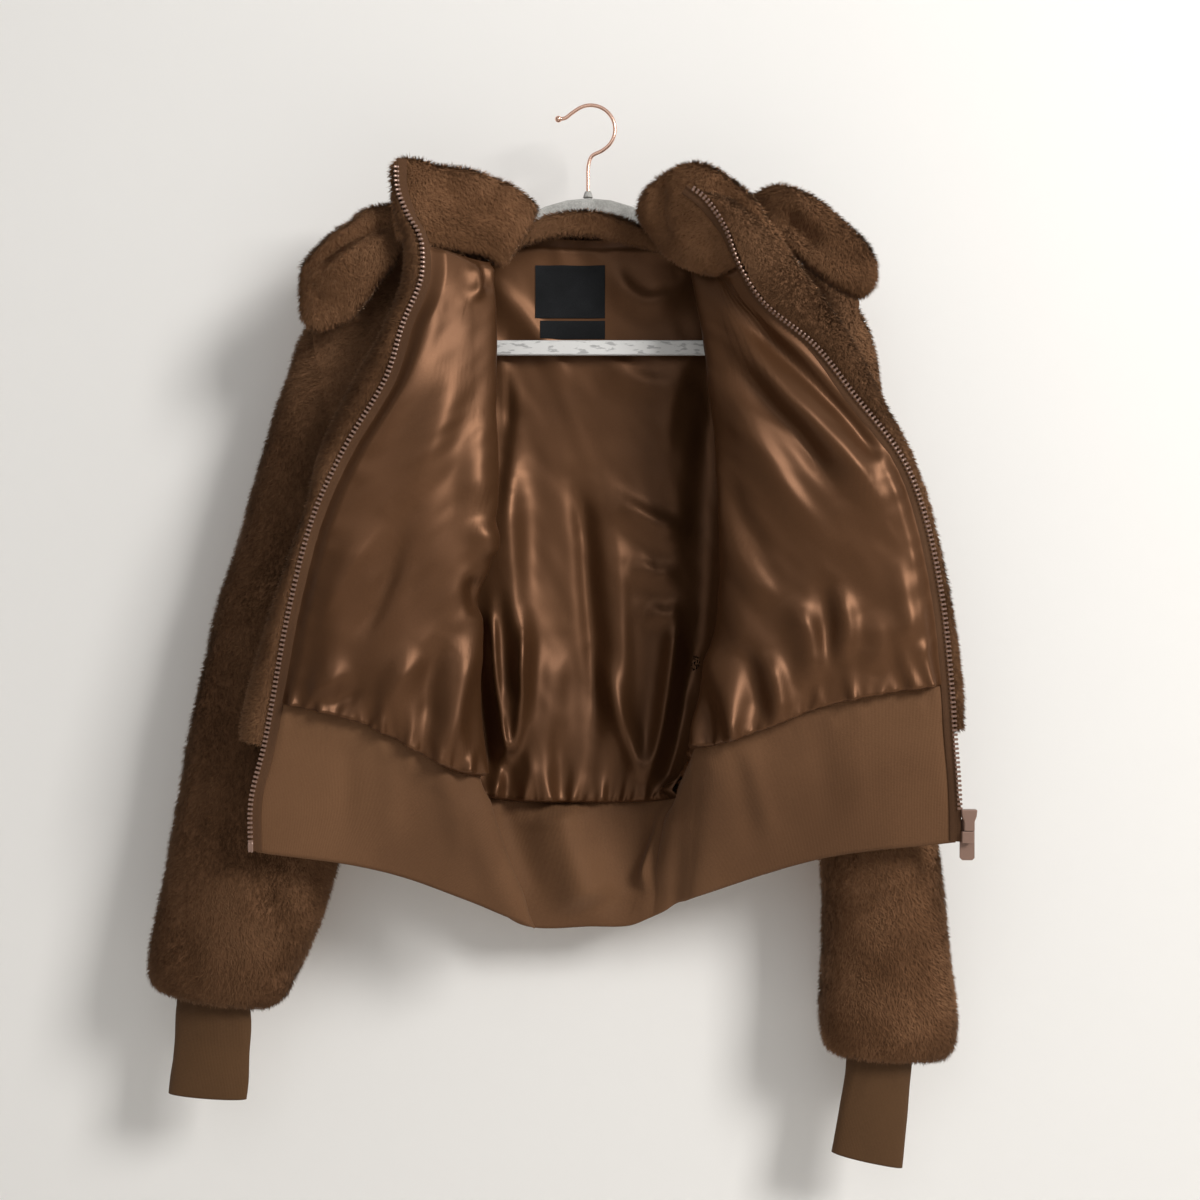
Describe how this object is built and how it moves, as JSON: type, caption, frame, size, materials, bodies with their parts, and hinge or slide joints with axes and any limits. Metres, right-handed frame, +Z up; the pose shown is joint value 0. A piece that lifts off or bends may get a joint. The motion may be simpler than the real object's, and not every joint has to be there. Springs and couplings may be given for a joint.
{
  "type": "faux fur jacket on hanger",
  "caption": "Cropped open-front faux fur bomber jacket with satin lining, rib-knit waistband and cuffs, hanging splayed on a slim velvet hanger with a wire hook.",
  "frame": {"origin": "the inside top of the hook's bend, where a nail or rail touches it", "axes": "+Z up, the open front faces -Y, the wall behind is on the +Y side, +X to the viewer's right"},
  "size_m": [0.645, 0.1444, 0.8493],
  "materials": {
    "faux_fur": "short dense pile, matt",
    "satin": "satin weave with broad highlights",
    "rib_knit": "fine rib knit",
    "zip_tape": "woven tape",
    "zip_plastic": "moulded plastic with a soft shine",
    "label": "woven label, bare",
    "velvet": "short velvet flocking",
    "rose_gold": "polished rose-gold plate"
  },
  "bodies": {
    "jacket": {"back_fur": "faux_fur", "front_left_fur": "faux_fur", "front_right_fur": "faux_fur", "sleeve_left": "faux_fur", "sleeve_right": "faux_fur", "collar_left": "faux_fur", "collar_back": "faux_fur", "collar_right": "faux_fur", "collar_fall": "faux_fur", "back_lining": "satin", "front_left_lining": "satin", "front_right_lining": "satin", "waistband": "rib_knit", "cuff_left": "rib_knit", "cuff_right": "rib_knit", "zip_tape_left": "zip_tape", "zip_tape_right": "zip_tape", "zip_chain_left": "zip_plastic", "zip_chain_right": "zip_plastic", "zip_slider": "zip_plastic", "zip_box": "zip_plastic", "zip_bridge": "zip_plastic", "label_main": "label", "label_size": "label", "hanger_frame": "velvet", "hook_socket": "velvet", "hook": "rose_gold"},
    "zip_pull": {"zip_pull": "zip_plastic"}
  },
  "joints": [
    {"name": "zip_pull", "type": "hinge", "parent": "jacket", "child": "zip_pull", "pos_m": [0.2886, -0.0755, -0.56], "axis": [1, 0, 0], "range_deg": [0, 150]}
  ]
}
